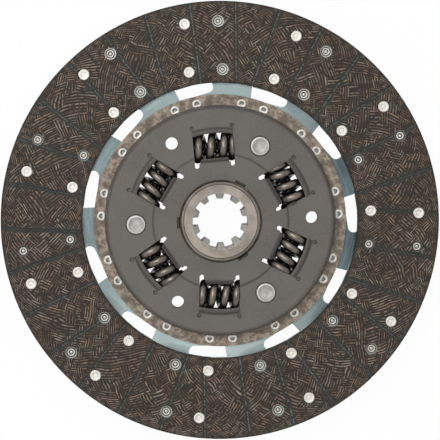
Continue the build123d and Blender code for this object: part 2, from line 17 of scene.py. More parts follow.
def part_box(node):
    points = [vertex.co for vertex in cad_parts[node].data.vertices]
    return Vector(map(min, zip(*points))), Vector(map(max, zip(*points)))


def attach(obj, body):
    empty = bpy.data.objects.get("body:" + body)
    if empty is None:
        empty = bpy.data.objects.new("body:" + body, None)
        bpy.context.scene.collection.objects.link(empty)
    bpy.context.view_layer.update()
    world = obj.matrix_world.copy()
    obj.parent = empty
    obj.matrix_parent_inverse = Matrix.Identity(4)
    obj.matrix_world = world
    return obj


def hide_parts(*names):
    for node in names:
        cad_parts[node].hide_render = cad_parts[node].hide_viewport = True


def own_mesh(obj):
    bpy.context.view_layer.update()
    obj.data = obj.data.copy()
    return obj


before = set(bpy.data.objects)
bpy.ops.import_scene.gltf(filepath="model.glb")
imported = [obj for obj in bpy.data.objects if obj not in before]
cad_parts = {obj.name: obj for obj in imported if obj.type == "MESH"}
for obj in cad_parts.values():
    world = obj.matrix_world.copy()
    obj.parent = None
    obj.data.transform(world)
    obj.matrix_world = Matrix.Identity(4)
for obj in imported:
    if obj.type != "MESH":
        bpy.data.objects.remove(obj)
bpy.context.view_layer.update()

MM = 0.001
print("nodes:", len(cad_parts))

# %% [markdown]
# Node trees are built the same way for geometry and for finishes, so one small function serves
# every kind of node. It adds the node, sets its properties, and fills the inputs that are in use
# in their own order. A node that is passed as a value stands for its first output in use, and a
# hex code stands for a colour, which keeps long sums readable.

# %% One function that adds a node
def colour(code):
    """A linear colour with alpha, from an sRGB hex code."""
    channels = [int(code[i : i + 2], 16) / 255 for i in (1, 3, 5)]
    linear = [c / 12.92 if c <= 0.04045 else ((c + 0.055) / 1.055) ** 2.4 for c in channels]
    return (*linear, 1.0)


def node(tree, kind, *values, inputs=None, **settings):
    """Adds a node and fills its inputs with values, sockets or nodes.

    A kind in capitals is the operation of a Math node, and "VectorMath LENGTH" is a kind with its
    operation. A kind that has Node in it is a full name.
    """
    kind, *operation = ("Math " + kind if kind.isupper() else kind).split()
    made = tree.nodes.new(kind if "Node" in kind else "ShaderNode" + kind)
    if operation:
        made.operation = operation[0]
    for name, value in settings.items():
        setattr(made, name, value)
    filled = list(zip([socket for socket in made.inputs if socket.enabled], values))
    filled += [(made.inputs[name], value) for name, value in (inputs or {}).items()]
    for socket, value in filled:
        if isinstance(value, bpy.types.Node):
            value = next(output for output in value.outputs if output.enabled)
        if isinstance(value, bpy.types.NodeSocket):
            tree.links.new(value, socket)
        else:
            socket.default_value = colour(value) if isinstance(value, str) else value
    return made


print("mid grey in linear light:", round(colour("#808080")[0], 3))

# %% [markdown]
# Every finish starts from the piece's own Object coordinates. Each CAD node and each finished
# piece sits at the origin, so those coordinates are simply metres in the disc's own frame, and a
# ring pattern or a groove can be worked out from the axis. Two settings come back all the time:
# a Map Range that ramps smoothly, and a Mix of two colours.

# %% Start a finish
SMOOTH = {"interpolation_type": "SMOOTHSTEP"}
COLOURS = {"data_type": "RGBA"}


def new_finish(name):
    """A material, a function that adds a node to it, and the piece's Object coordinates."""
    material = bpy.data.materials.new(name)
    material.use_nodes = True
    material.node_tree.nodes.clear()
    add = functools.partial(node, material.node_tree)
    print("finish:", name)
    return material, add, add("TexCoord").outputs["Object"]


def polar(add, place):
    """The radius and the angle about the disc's axis."""
    split = add("SeparateXYZ", place).outputs
    flat = add("CombineXYZ", split["X"], split["Y"], 0.0)
    return add("VectorMath LENGTH", flat), add("ARCTAN2", split["Y"], split["X"])


print("settings of ramps and of colour mixes:", SMOOTH, COLOURS)

# %% [markdown]
# Springs follow a rule and rivets stand in rings, so Geometry Nodes make both. Each tree takes its
# sizes as named inputs, and keeps the identifiers by which a modifier knows them. Every tree ends
# in real geometry with its finish set, because the export drops instances.

# %% A tree with named inputs
def geometry_tree(name, inputs, draw):
    """A Geometry Nodes tree, and the identifier of each input by its name.

    draw(add, given) adds the nodes between the inputs and the end, and returns the last of them.
    """
    tree = bpy.data.node_groups.new(name, "GeometryNodeTree")
    sockets = {}
    for label, kind in {**inputs, "Finish": "Material"}.items():
        made = tree.interface.new_socket(label, in_out="INPUT", socket_type="NodeSocket" + kind)
        sockets[label] = made.identifier
    tree.interface.new_socket("Result", in_out="OUTPUT", socket_type="NodeSocketGeometry")
    add = functools.partial(node, tree)
    given = add("NodeGroupInput").outputs
    whole = add("GeometryNodeRealizeInstances", draw(add, given))
    dressed = add("GeometryNodeSetMaterial", whole, inputs={"Material": given["Finish"]})
    add("NodeGroupOutput", dressed)
    print(name, "has", len(tree.nodes), "nodes, and takes", ", ".join(sockets))
    return tree, sockets


print("trees so far:", len(bpy.data.node_groups))

# %% [markdown]
# The springs show most through the windows. Each one is a wire along a helix whose end coils lie
# close together and are ground flat. A curve drawn by hand would do for one. Here a straight line
# of points is bent into the helix by its index, so every size stays free, and a round section
# follows it. What stands past an end is pressed onto the end plane, just as grinding leaves it.

# %% The coil as a Geometry Nodes tree
COIL_POINTS = 180
WIRE_SIDES = 20


def wound_coil(add, given):
    """Winds a compression spring along X, closed and ground at both ends."""
    path = add("GeometryNodeMeshToCurve", add("GeometryNodeMeshLine", COIL_POINTS))
    along = add("DIVIDE", add("GeometryNodeInputIndex"), COIL_POINTS - 1.0)
    signed = add("MULTIPLY_ADD", along, 2.0, -1.0)
    half_length = add("MULTIPLY", given["Length"], 0.5)
    # The wire runs out where grinding has left a quarter of its thickness
    wire_end = add("MULTIPLY_ADD", given["Wire Radius"], 0.5, half_length)
    open_turns = add("DIVIDE", given["Active Reach"], given["Pitch"])
    closing = add("SUBTRACT", wire_end, given["Active Reach"])
    end_turns = add("ADD", open_turns, add("DIVIDE", closing, given["Closing Pitch"]))
    turns = add("MULTIPLY", signed, end_turns)
    distance = add("ABSOLUTE", turns)
    inner = add("MULTIPLY", add("MINIMUM", distance, open_turns), given["Pitch"])
    past = add("MAXIMUM", add("SUBTRACT", distance, open_turns), 0.0)
    outer = add("MULTIPLY", past, given["Closing Pitch"])
    axial = add("MULTIPLY", add("ADD", inner, outer), add("SIGN", turns))
    from_front = add("SUBTRACT", turns, add("DIVIDE", given["Front At"], given["Pitch"]))
    angle = add("MULTIPLY", add("MULTIPLY", from_front, math.tau), given["Hand"])
    across = add("MULTIPLY", add("SINE", angle), given["Coil Radius"])
    across = add("MULTIPLY", across, -1.0)
    upward = add("MULTIPLY", add("COSINE", angle), given["Coil Radius"])
    bent = add("CombineXYZ", axial, across, upward)
    helix = add("GeometryNodeSetPosition", path, inputs={"Position": bent})
    section = add("GeometryNodeCurvePrimitiveCircle", WIRE_SIDES, given["Wire Radius"])
    wire = add("GeometryNodeCurveToMesh", helix, section, inputs={"Fill Caps": True})
    # Grinding: whatever stands past an end plane is pressed onto it
    spot = add("SeparateXYZ", add("GeometryNodeInputPosition")).outputs
    low = add("MULTIPLY", half_length, -1.0)
    ground = add("MAXIMUM", add("MINIMUM", spot["X"], half_length), low)
    ground_at = add("CombineXYZ", ground, spot["Y"], spot["Z"])
    spring = add("GeometryNodeSetPosition", wire, inputs={"Position": ground_at})
    return add("GeometryNodeSetShadeSmooth", spring)


COIL_SIZES = ("Length", "Coil Radius", "Wire Radius", "Pitch", "Closing Pitch", "Active Reach")
COIL_INPUTS = dict.fromkeys([*COIL_SIZES, "Front At", "Hand"], "Float")
COIL, COIL_SOCKETS = geometry_tree("damper_coil", COIL_INPUTS, wound_coil)

# %% [markdown]
# Spring wire is oil-tempered steel, drawn smooth, hardened and quenched in oil, and dark with oil
# and oxide. Its finish paints light and shade: a painted highlight in warm grey along the outermost
# line of each strand, its crown, and painted shade near black on the sides between the turns. So
# the finish goes by how far a point of the wire stands out from the coil and faces up, which is
# kept in an attribute, and a thin film of oil over it all adds a soft shine.

# %% Finish of the springs
def oil_tempered_wire():
    """Near-black wire with a painted highlight along its crown, under a coat of oil."""
    material, add, place = new_finish("oil_tempered_steel_wire")
    painted_crown_highlight = add("Attribute", attribute_name="painted_crown_highlight").outputs["Fac"]
    blots = add("MapRange", add("TexNoise", place, 1 / (5 * MM), 3.0), 0.3, 0.7, **SMOOTH)
    painted_highlight = add("Mix", blots, "#59524B", "#7C7369", **COLOURS)
    # Painted shade near black on the sides of each strand, and a painted highlight on its crown
    shade = add("Mix", add("MapRange", painted_crown_highlight, 0.0, 1.0, **SMOOTH), "#191613", painted_highlight, **COLOURS)
    look = {
        "Base Color": shade,
        "Metallic": 0.8,
        "Roughness": add("MapRange", blots, 0.0, 1.0, 0.3, 0.42),
        "Coat Weight": 0.3,
        "Coat Roughness": 0.3,
    }
    add("OutputMaterial", add("BsdfPrincipled", inputs=look))
    return material


SPRING_WIRE_FINISH = oil_tempered_wire()

# %% [markdown]
# The six windows stand in pairs, one on either side of each stop pin. When the hub has twisted as
# far as the pins allow, every window has become shorter, so the springs must be able to give way
# by the same length. That share is worked out here, from the angle of the stops.

# %% Where the springs stand
PIN_ANGLES = (62.3, 182.3, 302.3)
WINDOW_FROM_PIN = 33.1
SPRING_ANGLES = [pin + side * WINDOW_FROM_PIN for pin in PIN_ANGLES for side in (-1, 1)]
SPRING_CIRCLE = 59.2 * MM
SPRING_LENGTH = 31.7 * MM

spring_z = sum(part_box("outer_spring_1")[i].z for i in (0, 1)) / 2

# %% [markdown]
# A tree only lives in a modifier. The export wants plain meshes, so the modifier runs once on a
# throwaway object and the result is kept. The same function will serve the rivets and the pins.

# %% Run a tree and keep its mesh
def in_scene(name, data):
    """A new object in the scene that shows a mesh, a lamp or a camera."""
    made = bpy.data.objects.new(name, data)
    bpy.context.scene.collection.objects.link(made)
    return made


def grown(name, tree, sockets, settings, start=None):
    """Runs a Geometry Nodes tree, and returns its result as a plain mesh object."""
    seed = in_scene(name + "_seed", start or bpy.data.meshes.new(name + "_seed"))
    modifier = seed.modifiers.new("grow", "NODES")
    modifier.node_group = tree
    for label, value in settings.items():
        modifier[sockets[label]] = value
    graph = bpy.context.evaluated_depsgraph_get()
    mesh = bpy.data.meshes.new_from_object(seed.evaluated_get(graph), depsgraph=graph)
    seed.modifiers.remove(modifier)
    bpy.data.objects.remove(seed)
    mesh.name = name
    return in_scene(name, mesh)


OUTER_COIL = {
    "Coil Radius": 9.3 * MM,
    "Wire Radius": 3.1 * MM,
    "Pitch": 10.1 * MM,
    "Closing Pitch": 6.1 * MM,
    "Active Reach": 11.25 * MM,
    "Hand": -1.0,
}
INNER_COIL = {
    "Coil Radius": 4.35 * MM,
    "Wire Radius": 1.55 * MM,
    "Pitch": 5.6 * MM,
    "Closing Pitch": 3.2 * MM,
    "Active Reach": 12.75 * MM,
    "Hand": 1.0,
}
play = OUTER_COIL["Coil Radius"] - OUTER_COIL["Wire Radius"]
play -= INNER_COIL["Coil Radius"] + INNER_COIL["Wire Radius"]
print("play between outer and inner spring:", round(play / MM, 2), "mm")

# %% [markdown]
# Each window holds a heavy outer spring and a light inner one of the opposite hand, so that they
# can't screw into each other. When the hub twists, one side of every window pushes its springs
# shorter.

# %% Wind the springs and put them in their windows
# Where the front strand of each outer spring stands, in millimetres along the spring
FRONT_AT = (1.2, -2.2, 3.9, 3.0, -4.7, -4.4)


def damper_spring(name, angle, coil, front_at, painted_highlight):
    """A spring in the window at an angle, whose axis is square to the radius there."""
    settings = {**coil, "Length": SPRING_LENGTH, "Front At": front_at}
    settings["Finish"] = SPRING_WIRE_FINISH
    piece = grown(name + "_wire", COIL, COIL_SOCKETS, settings)
    turn = math.radians(angle - 90)
    c, s = math.cos(turn), math.sin(turn)
    painted_crown_highlight = piece.data.attributes.new("painted_crown_highlight", "FLOAT", "POINT")
    for k, vertex in enumerate(piece.data.vertices):
        x, y, z = vertex.co
        if painted_highlight:
            # The painted highlight goes on the outer springs' crowns, most where they face up
            out = math.hypot(y, z)
            standing = (out - coil["Coil Radius"]) / coil["Wire Radius"]
            painted_crown_highlight.data[k].value = standing * (abs(z) / out) ** 3
        y += SPRING_CIRCLE
        vertex.co = (c * x - s * y, s * x + c * y, z + spring_z)
    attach(piece, "springs")
    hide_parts(name)
    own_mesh(piece)


for k, angle in enumerate(SPRING_ANGLES):
    damper_spring(f"outer_spring_{k + 1}", angle, OUTER_COIL, FRONT_AT[k] * MM, painted_highlight=True)
    damper_spring(f"inner_spring_{k + 1}", angle, INNER_COIL, 0.0, painted_highlight=False)
print("springs:", 2 * len(SPRING_ANGLES))

# %% [markdown]
# Rivets and pins are turned shapes, so a profile spun about its own axis gives them, as a lathe
# would. Blender's Screw modifier could do it too. A loop is chosen here because it can also press
# a side flat, and because it can note on each point how far it lies from the piece's own axis,
# so that a finish can lay rings of tool marks, painted shade and painted highlights on all of them
# at once.

# %% Spin a facing rivet
FACING_RIVET_PROFILE = [
    # The head's dished face and its rim, then the shank
    (0, 1.0), (1.3, 1.0), (1.7, 0.9), (2.1, 1.05), (3.7, 1.2), (4.15, 1.15), (4.6, 0.8),
    (4.6, 0.0), (2.5, 0.0), (2.5, -2.3),
    # The rolled end, then the bore and its bottom
    (3.2, -2.3), (3.35, -2.5), (3.25, -2.8), (2.8, -3.1), (2.3, -3.1), (1.9, -2.85),
    (1.7, -2.2), (1.6, -1.5), (1.1, -1.35), (0.7, -1.5), (0, -1.55),
]
SHARP_FROM = math.radians(35)


def turned_mesh(name, profile, sides=40, shape=None):
    """A closed mesh spun about Z from (radius, z) points in millimetres, from axis to axis.

    Each point keeps its radius in the attribute from_axis, negative below z = 0.
    """
    shell = bmesh.new()
    from_axis = shell.verts.layers.float.new("from_axis")
    rings = []
    for radius, z in profile:
        if radius == 0:
            rings.append([shell.verts.new((0, 0, z * MM))])
            continue
        ring = []
        for i in range(sides):
            a = math.tau * i / sides
            x, y = radius * math.cos(a), radius * math.sin(a)
            if shape:
                x, y = shape(x, y, radius)
            ring.append(shell.verts.new((x * MM, y * MM, z * MM)))
            ring[-1][from_axis] = radius if z >= 0 else -radius
        rings.append(ring)
    for low, high in zip(rings, rings[1:]):
        for i in range(sides):
            j = (i + 1) % sides
            corners = [low[i % len(low)], low[j % len(low)], high[j % len(high)], high[i % len(high)]]
            shell.faces.new(list(dict.fromkeys(corners)))
    bmesh.ops.recalc_face_normals(shell, faces=shell.faces)
    mesh = bpy.data.meshes.new(name)
    shell.to_mesh(mesh)
    shell.free()
    for face in mesh.polygons:
        face.use_smooth = True
    mesh.set_sharp_from_angle(angle=SHARP_FROM)
    return mesh


facing_rivet = turned_mesh("facing_rivet", FACING_RIVET_PROFILE)
print("facing rivet:", len(facing_rivet.polygons), "faces")

# %% [markdown]
# Rivets stand in rings, so one Geometry Nodes tree stands copies of a mesh around the axis. Its
# count, radius and angles are named inputs, and the same tree sets every row. Each copy also
# turns by chance about its own axis, because nothing lines real ones up when they are set.

# %% A tree that stands copies in a ring
def copies_in_ring(add, given):
    """Stands copies of the modifier's own mesh on a circle, each turned to its place."""
    points = add("GeometryNodeMeshLine", given["Count"])
    step = add("DIVIDE", math.tau, given["Count"])
    index = add("GeometryNodeInputIndex")
    angle = add("MULTIPLY_ADD", index, step, given["First Angle"])
    # A copy stands at (radius, sideways) before it is turned to its angle
    home = add("CombineXYZ", given["Circle Radius"], given["Sideways"], given["Height"])
    turn = add("CombineXYZ", 0.0, 0.0, angle)
    at = add("VectorRotate", home, inputs={"Rotation": turn}, rotation_type="EULER_XYZ")
    placed = add("GeometryNodeSetPosition", points, inputs={"Position": at})
    stood = {"Instance": given["Piece"], "Rotation": turn}
    copies = add("GeometryNodeInstanceOnPoints", placed, inputs=stood)
    chance = add("FunctionNodeRandomValue", -1.0, 1.0, inputs={"Seed": given["Seed"]})
    own_turn = add("CombineXYZ", 0.0, 0.0, add("MULTIPLY", chance, given["Own Turn"]))
    return add("GeometryNodeRotateInstances", copies, inputs={"Rotation": own_turn})


RING_PLACES = ("Circle Radius", "Sideways", "First Angle", "Height", "Own Turn")
RING_INPUTS = {"Piece": "Geometry", "Count": "Int", "Seed": "Int"}
RING_INPUTS |= dict.fromkeys(RING_PLACES, "Float")
RING, RING_SOCKETS = geometry_tree("stand_in_a_ring", RING_INPUTS, copies_in_ring)

# %% [markdown]
# The facings' rivets are semi-tubular, of plated steel. They are bright and a little satin, and
# their heads carry faint rings and dents from the tool that set them. Segment rivets are plain
# steel formed cold, and the stop pins are greyer, with a rim that the press rolled bright. One
# function makes all three, since only their colours, marks and rings differ. Some rings are
# painted light: painted shade in bores and round rims, and a painted highlight on the pins' rims.

# %% Finishes of rivets and pins
RING_FADE = 0.3


def bright_fastener(name, dark, light, size, rings):
    """Bright steel with marks of about size metres. rings holds (from, to, colour, share)."""
    material, add, place = new_finish(name)
    marks = add("TexNoise", place, 1 / size)
    shade = add("Mix", add("MapRange", marks, 0.36, 0.62, **SMOOTH), dark, light, **COLOURS)
    from_axis = add("Attribute", attribute_name="from_axis").outputs["Fac"]
    # The rings lay tool marks, painted shade and painted highlights
    for low, high, tone, share in rings:
        inside = add("MapRange", from_axis, low, low + RING_FADE, **SMOOTH)
        outside = add("MapRange", from_axis, high - RING_FADE, high, share, 0.0, **SMOOTH)
        shade = add("Mix", add("MULTIPLY", inside, outside), shade, tone, **COLOURS)
    bump = add("Bump", inputs={"Strength": 0.2, "Distance": 0.05 * MM, "Height": marks})
    look = {"Base Color": shade, "Metallic": 0.5, "Roughness": 0.5, "Normal": bump}
    add("OutputMaterial", add("BsdfPrincipled", inputs=look))
    return material


# On a head the rings are faint, with painted shade at the rim, and on a rolled end, below 0,
# painted shade fills the bore and its edge
PLATED_RINGS_AND_SHADE = [
    (1.4, 2.4, "#A39E96", 0.55),
    (3.0, 3.8, "#B4AFA7", 0.4),
    (4.2, 6.0, "#7D7871", 0.6),
    (-2.1, -1.0, "#3A3835", 0.9),
    (-6.0, -3.1, "#4A4845", 0.8),
]
# A segment rivet's bore and the outer edge of its rolled end are painted shade
SET_RIVET_SHADE = [(-0.5, 1.75, "#716F6B", 0.9), (3.6, 6.0, "#77736D", 0.6)]
# A pin's darker ring on its hollow face is painted shade, and its rim, rolled bright, gets a painted
# highlight
PIN_SHADE_AND_HIGHLIGHT = [(4.8, 5.8, "#7A7673", 0.5), (6.3, 7.6, "#D0CDCB", 0.9)]
PLATED = bright_fastener("plated_steel_rivet", "#CDC9C1", "#E2DFD8", 1.6 * MM, PLATED_RINGS_AND_SHADE)
SET_STEEL = bright_fastener("cold_headed_steel_rivet", "#BDB9B3", "#D6D3CD", 3 * MM, SET_RIVET_SHADE)
PIN_STEEL = bright_fastener("upset_steel_pin", "#95918E", "#A8A4A1", 5 * MM, PIN_SHADE_AND_HIGHLIGHT)

# %% [markdown]
# A row of rivets runs through the same helper as a spring. Rows are then joined into one mesh,
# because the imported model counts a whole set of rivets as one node.

# %% Stand copies around, and join rows
# In radians either way, so a rivet can stand turned to nearly any angle
ANY_TURN = 3.1


def stood_around(name, mesh, finish, count, radius, first, height, sideways=0.0, own_turn=ANY_TURN):
    """Copies of a mesh on a circle, in millimetres and degrees, as one plain mesh."""
    settings = {
        "Count": count,
        "Circle Radius": radius * MM,
        "Sideways": sideways * MM,
        "First Angle": math.radians(first),
        "Height": height * MM,
        "Own Turn": own_turn,
        "Seed": 7,
        "Finish": finish,
    }
    return grown(name, RING, RING_SOCKETS, settings, start=mesh.copy())


def joined(name, pieces):
    """Joins plain mesh pieces into one, with its place in its mesh."""
    shell = bmesh.new()
    for piece in pieces:
        shell.from_mesh(piece.data)
    mesh = bpy.data.meshes.new(name)
    for material in pieces[0].data.materials:
        mesh.materials.append(material)
    shell.to_mesh(mesh)
    shell.free()
    mesh.set_sharp_from_angle(angle=SHARP_FROM)
    for piece in pieces:
        bpy.data.objects.remove(piece)
    return in_scene(name, mesh)


print("rivets stand turned by up to", round(math.degrees(ANY_TURN)), "degrees")

# %% [markdown]
# Two rows of rivets hold each facing to the eleven segments, two rivets to a row on each segment.
# One of the two is set from the front and the other from the back, so that each facing shows a
# head beside a rolled end. The back facing's set is the front one turned over.

# %% Set the facing rivets
SEGMENTS = 11
FIRST_SEGMENT = 30.0
FACING_ROWS = (120.0, 158.5)
FACING_ACROSS = 13.4
LINING_UNDER_HEAD = 1.5
front_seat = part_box("front_facing")[0].z / MM + LINING_UNDER_HEAD
middle_z = (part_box("front_facing")[0].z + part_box("back_facing")[1].z) / 2 / MM


def facing_rivets(name, mesh, height, sideways):
    """Both rows of rivets of one facing, as one piece."""
    rows = [
        stood_around(f"{name}_{k}", mesh, PLATED, SEGMENTS, row, FIRST_SEGMENT, height, sideways)
        for k, row in enumerate(FACING_ROWS)
    ]
    piece = joined(name + "_set", rows)
    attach(piece, "disc")
    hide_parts(name)


turned_over = facing_rivet.copy()
for vertex in turned_over.vertices:
    vertex.co = (vertex.co.x, -vertex.co.y, -vertex.co.z)
facing_rivets("front_facing_rivets", facing_rivet, front_seat, FACING_ACROSS)
facing_rivets("back_facing_rivets", turned_over, 2 * middle_z - front_seat, -FACING_ACROSS)
print("facing rivets:", 4 * SEGMENTS)

# %% [markdown]
# A second kind of tubular rivet holds the segments under the drive plate. Its rolled end was set
# right against the cover's wall, so one side is flattened: seen from the front it is a D.

# %% Segment rivets with one flat side
FLAT_SIDE = 2.15
FLAT_BORE = 0.7
BORE_RADIUS = 1.8
SEGMENT_RIVET_CIRCLE = 94.6
SEGMENT_FOOT = FIRST_SEGMENT - 5.0
FOOT_HALF_TURN = 10.83
ROLLED_END = 1.0
PLATE_THICKNESS = 2.5
SEGMENT_RIVET_PROFILE = [
    # The bore, then the rolled end round it
    (0, 1.3), (1.3, 1.3), (1.6, 2.5), (1.8, 3.1), (2.4, 3.45), (3.1, 3.42), (3.7, 3.1),
    (3.9, 2.7), (3.9, 2.5),
    # The shank through the plate, then the flat head behind it
    (2.1, 2.5), (2.1, -0.8), (3.8, -0.8), (3.8, -1.4), (3.3, -1.75), (0, -1.8),
]
plate_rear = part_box("segment_rivets")[1].z / MM - ROLLED_END - PLATE_THICKNESS


def flattened(x, y, radius):
    """Presses the side that faces the axis, -X, flat: the bore too, which makes it a D."""
    limit = FLAT_BORE if radius <= BORE_RADIUS else FLAT_SIDE
    return (max(x, -limit), y)


segment_rivet = turned_mesh("segment_rivet", SEGMENT_RIVET_PROFILE, shape=flattened)
rows = []
for k, side in enumerate((-1, 1)):
    name = f"segment_rivet_row_{k}"
    first = SEGMENT_FOOT + side * FOOT_HALF_TURN
    place = (SEGMENT_RIVET_CIRCLE, first, plate_rear)
    rows.append(stood_around(name, segment_rivet, SET_STEEL, SEGMENTS, *place, own_turn=0.0))
rivets = joined("segment_rivets_set", rows)
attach(rivets, "disc")
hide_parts("segment_rivets")
print("segment rivets:", 2 * SEGMENTS)

# %% [markdown]
# Three stop pins hold the two plates apart and end the twist. Their ends are upset in a press,
# which leaves a bright rolled rim around a slightly hollow face, and the finish adds a painted
# highlight on that rim. Each profile runs from one end's hollow middle over its head, neck and
# shoulder to the other end, so one spin makes the pin.

# %% Stop pins
PIN_CIRCLE = 67.2
HEAD_HEIGHT = 2.0
HEAD_RADIUS = 7.45
NECK_RADIUS = 4.5
SHOULDER_RADIUS = 6.0
pin_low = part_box("stop_pin_1")[0].z / MM
pin_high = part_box("stop_pin_1")[1].z / MM
cover_face = pin_high - HEAD_HEIGHT
drive_rear = pin_low + HEAD_HEIGHT


def upset_face(end, plate):
    """Profile points of one headed end, from its hollow middle to where the neck starts."""
    way = 1 if end > plate else -1
    face = [(0, -0.5), (2.6, -0.46), (4.6, -0.3), (5.5, -0.04), (6.4, 0), (7.05, -0.2)]
    points = [(r, end + way * z) for r, z in [*face, (HEAD_RADIUS, -0.8)]]
    return points + [(HEAD_RADIUS, plate), (NECK_RADIUS, plate)]


shoulder_top = cover_face - PLATE_THICKNESS
shoulder_foot = drive_rear + PLATE_THICKNESS
pin_profile = [
    *upset_face(pin_high, cover_face),
    (NECK_RADIUS, shoulder_top),
    (SHOULDER_RADIUS, shoulder_top),
    (SHOULDER_RADIUS, shoulder_foot),
    (NECK_RADIUS, shoulder_foot),
    *reversed(upset_face(pin_low, drive_rear)),
]
stop_pin = turned_mesh("stop_pin", pin_profile, sides=56)
pins = stood_around(
    "stop_pins", stop_pin, PIN_STEEL, len(PIN_ANGLES), PIN_CIRCLE, PIN_ANGLES[0], 0.0
)
pins.data.set_sharp_from_angle(angle=SHARP_FROM)
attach(pins, "disc")
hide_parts("stop_pin_1", "stop_pin_2", "stop_pin_3")
print("stop pins:", len(PIN_ANGLES))

# %% [markdown]
# The facings are wound, not woven: a yarn soaked in resin swings in and out between the rim and
# the inner edge about four times a turn, until hundreds of crossings make a mat, which is then
# cured and ground. So the pattern is two families of curved strands that cross, and patches of
# one lie over patches of the other. Both families come from the angle and the radius: along a
# strand, the angle less a share of the arcsine of its place across the ring stays the same.

# %% The two families of strands
STRANDS = 290
SWINGS = 4.3
BUNDLE = 4.0
FACING_INNER = 110.0 * MM
FACING_OUTER = 175.0 * MM
MIDDLE_RADIUS = 142.5 * MM
SWING = 33.5 * MM


def wound_strands(add, place, radius, angle):
    """How high the top strand stands, and a chance tone for it, from 0 to 1."""
    # Strands wander by a width or two, over about 30 mm, and jitter by a fraction over 6 mm
    wander = add("MULTIPLY_ADD", add("TexNoise", place, 1 / (30 * MM), 1.0), 5.0, -2.5)
    jitter = add("MULTIPLY_ADD", add("TexNoise", place, 1 / (6 * MM), 1.0), 0.7, wander)
    offset = add("DIVIDE", add("SUBTRACT", radius, MIDDLE_RADIUS), SWING)
    offset = add("MAXIMUM", add("MINIMUM", offset, 0.995), -0.995)
    lag = add("MULTIPLY", add("ARCSINE", offset), STRANDS / math.tau / SWINGS)
    turn = add("MULTIPLY_ADD", angle, STRANDS / math.tau, jitter)
    families = [add("SUBTRACT", turn, lag), add("ADD", turn, lag)]
    heights, tones = [], []
    for k, strand in enumerate(families):
        ramp = add("MULTIPLY", add("PINGPONG", strand, 0.5), 2.0)
        heights.append(add("SINE", add("MULTIPLY", ramp, math.pi / 2)))
        number = add("CombineXYZ", add("FLOOR", strand), float(k), 0.0)
        tones.append(add("TexWhiteNoise", number))
    # Bundles of strands lie over and under the other family, like a basket
    cells = [add("FLOOR", add("DIVIDE", strand, BUNDLE)) for strand in families]
    parity = add("MODULO", add("ABSOLUTE", add("ADD", *cells)), 2.0)
    chance = add("TexWhiteNoise", add("CombineXYZ", *cells, 0.0))
    over = add("GREATER_THAN", add("MULTIPLY_ADD", chance, 1.6, parity), 1.3)
    return add("Mix", over, *heights), add("Mix", over, *tones)


print("strands in each family:", STRANDS)

# %% [markdown]
# Shallow grooves cut the facing into sectors, three to a group of 36 degrees. The angle is folded
# into one group and then about its middle, so the distance to all thirty grooves is the smaller of
# two distances: to the radial line, and to one leaning line. Grinding dust packs into the mat
# beside them, which shows as dark, greenish bands. A pale thread down their middle is a painted
# highlight.

# %% The distance to the nearest groove
GROUPS = 10
GROUP_START = 26.0
LEANS_FROM = math.radians(14.75)
LEANS_TO = math.radians(12.0)
leaning_start = Vector((math.cos(LEANS_FROM), math.sin(LEANS_FROM))) * FACING_INNER
leaning_end = Vector((math.cos(LEANS_TO), math.sin(LEANS_TO))) * FACING_OUTER


def from_nearest_spoke(add, angle, count, first):
    """The angle from the nearest of count even spokes, the first of them at first degrees."""
    half_pitch = math.pi / count
    turned = add("SUBTRACT", angle, math.radians(first))
    return add("WRAP", turned, half_pitch, -half_pitch)


def groove_distance(add, radius, angle):
    """Metres to the middle of the nearest groove."""
    folded = from_nearest_spoke(add, angle, GROUPS, GROUP_START)
    along = add("MULTIPLY", radius, add("COSINE", folded))
    across = add("ABSOLUTE", add("MULTIPLY", radius, add("SINE", folded)))
    run = (leaning_end - leaning_start).normalized()
    normal = Vector((-run.y, run.x))
    leaning = add("MULTIPLY_ADD", along, normal.x, add("MULTIPLY", across, normal.y))
    leaning = add("SUBTRACT", leaning, normal.dot(leaning_start))
    return add("MINIMUM", across, add("ABSOLUTE", leaning))


print("grooves:", 3 * GROUPS)

# %% [markdown]
# Round marks, such as the dust at a drilled hole, stand on circles too, so the same folding finds
# the nearest. It serves the holes in the facings here, and the cover's pins and corner holes.

# %% The distance to the nearest hole
def spot_distance(add, radius, angle, count, first, out, across=0.0):
    """Metres to the nearest of count spots, out along a spoke and across it, in metres too."""
    folded = from_nearest_spoke(add, angle, count, first)
    along = add("MULTIPLY_ADD", radius, add("COSINE", folded), -out)
    sideways = add("MULTIPLY_ADD", radius, add("SINE", folded), -across)
    return add("VectorMath LENGTH", add("CombineXYZ", along, sideways, 0.0))


def hole_distance(add, radius, angle, side):
    """Metres to the nearest hole over a rivet of the other facing, on one side of a segment."""
    across = -side * FACING_ACROSS * MM
    rows = [
        spot_distance(add, radius, angle, SEGMENTS, FIRST_SEGMENT, row * MM, across)
        for row in FACING_ROWS
    ]
    return add("MINIMUM", *rows)


print("holes over rolled ends, on each facing:", len(FACING_ROWS) * SEGMENTS)

# %% [markdown]
# The lining itself is glass and copper-coloured yarn in dark resin. Grinding bares the crowns of
# the strands as short tan dashes and leaves the resin between them nearly black, so the colour
# goes by how high a strand stands.

# %% Colour of the ground weave
BARED_FROM = 0.72


